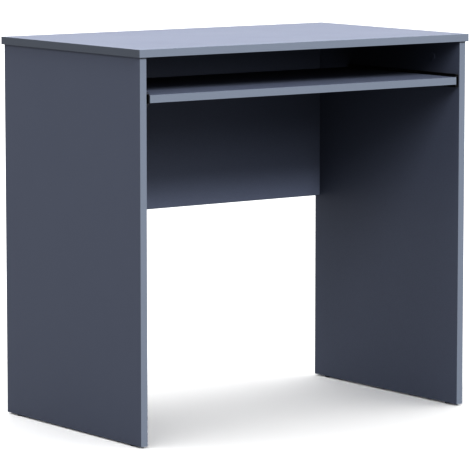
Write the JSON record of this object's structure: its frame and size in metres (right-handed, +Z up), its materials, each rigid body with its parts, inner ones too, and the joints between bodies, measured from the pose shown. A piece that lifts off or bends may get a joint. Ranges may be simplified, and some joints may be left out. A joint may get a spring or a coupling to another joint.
{
  "type": "computer desk with keyboard tray",
  "caption": "Small panel desk on two uprights with a back panel and a pull-out keyboard tray on ball-bearing slides under the top.",
  "frame": {"origin": "on the floor, under the middle of the top", "axes": "+X to the right of the person sitting at the desk, +Y away from them towards the back panel, +Z up"},
  "size_m": [0.8, 0.48, 0.754],
  "materials": {
    "melamine_board": "matt anthracite melamine facing on chipboard",
    "edge_band": "matt anthracite ABS edge band",
    "slide_steel": "black electrophoretic coating",
    "cage_steel": "bright zinc plating",
    "ball_steel": "polished bearing steel",
    "buffer_rubber": "moulded black rubber",
    "zinc_screw": "bright zinc plating",
    "zinc_bolt": "bright zinc plating",
    "zinc_alloy": "as-cast zinc alloy",
    "cover_plastic": "anthracite polyethylene",
    "beech": "fluted beech, untreated",
    "glide_plastic": "moulded black polyethylene",
    "nail_steel": "bright drawn wire"
  },
  "bodies": {
    "frame": {"top_panel": "melamine_board", "back_panel": "melamine_board", "left_side_panel": "melamine_board", "right_side_panel": "melamine_board", "top_edge_bands": "edge_band", "back_panel_edge_band": "edge_band", "left_side_edge_bands": "edge_band", "right_side_edge_bands": "edge_band", "slide_to_side_screws": "zinc_screw", "side_cam_bolts": "zinc_bolt", "back_cam_bolts": "zinc_bolt", "side_cam_locks": "zinc_alloy", "back_cam_locks": "zinc_alloy", "side_cam_covers": "cover_plastic", "top_dowels": "beech", "back_panel_dowels": "beech", "front_left_glide": "glide_plastic", "back_left_glide": "glide_plastic", "front_right_glide": "glide_plastic", "back_right_glide": "glide_plastic", "glide_nails": "nail_steel", "left_slide_cabinet_member": "slide_steel", "left_slide_buffer": "buffer_rubber", "right_slide_cabinet_member": "slide_steel", "right_slide_buffer": "buffer_rubber"},
    "tray": {"keyboard_tray": "melamine_board", "tray_edge_bands": "edge_band", "slide_to_tray_screws": "zinc_screw", "left_slide_tray_member": "slide_steel", "right_slide_tray_member": "slide_steel"},
    "left_cage": {"left_ball_cage": "cage_steel", "left_slide_balls": "ball_steel"},
    "right_cage": {"right_ball_cage": "cage_steel", "right_slide_balls": "ball_steel"}
  },
  "joints": [
    {"name": "tray_slide", "type": "slide", "parent": "frame", "child": "tray", "axis": [0, -1, 0], "range_m": [0, 0.24]},
    {"name": "left_cage_slide", "type": "slide", "parent": "frame", "child": "left_cage", "axis": [0, -1, 0], "range_m": [0, 0.12]},
    {"name": "right_cage_slide", "type": "slide", "parent": "frame", "child": "right_cage", "axis": [0, -1, 0], "range_m": [0, 0.12]}
  ],
  "couplings": [
    {"joint": "left_cage_slide", "follows": "tray_slide", "ratio": 0.5},
    {"joint": "right_cage_slide", "follows": "tray_slide", "ratio": 0.5}
  ]
}
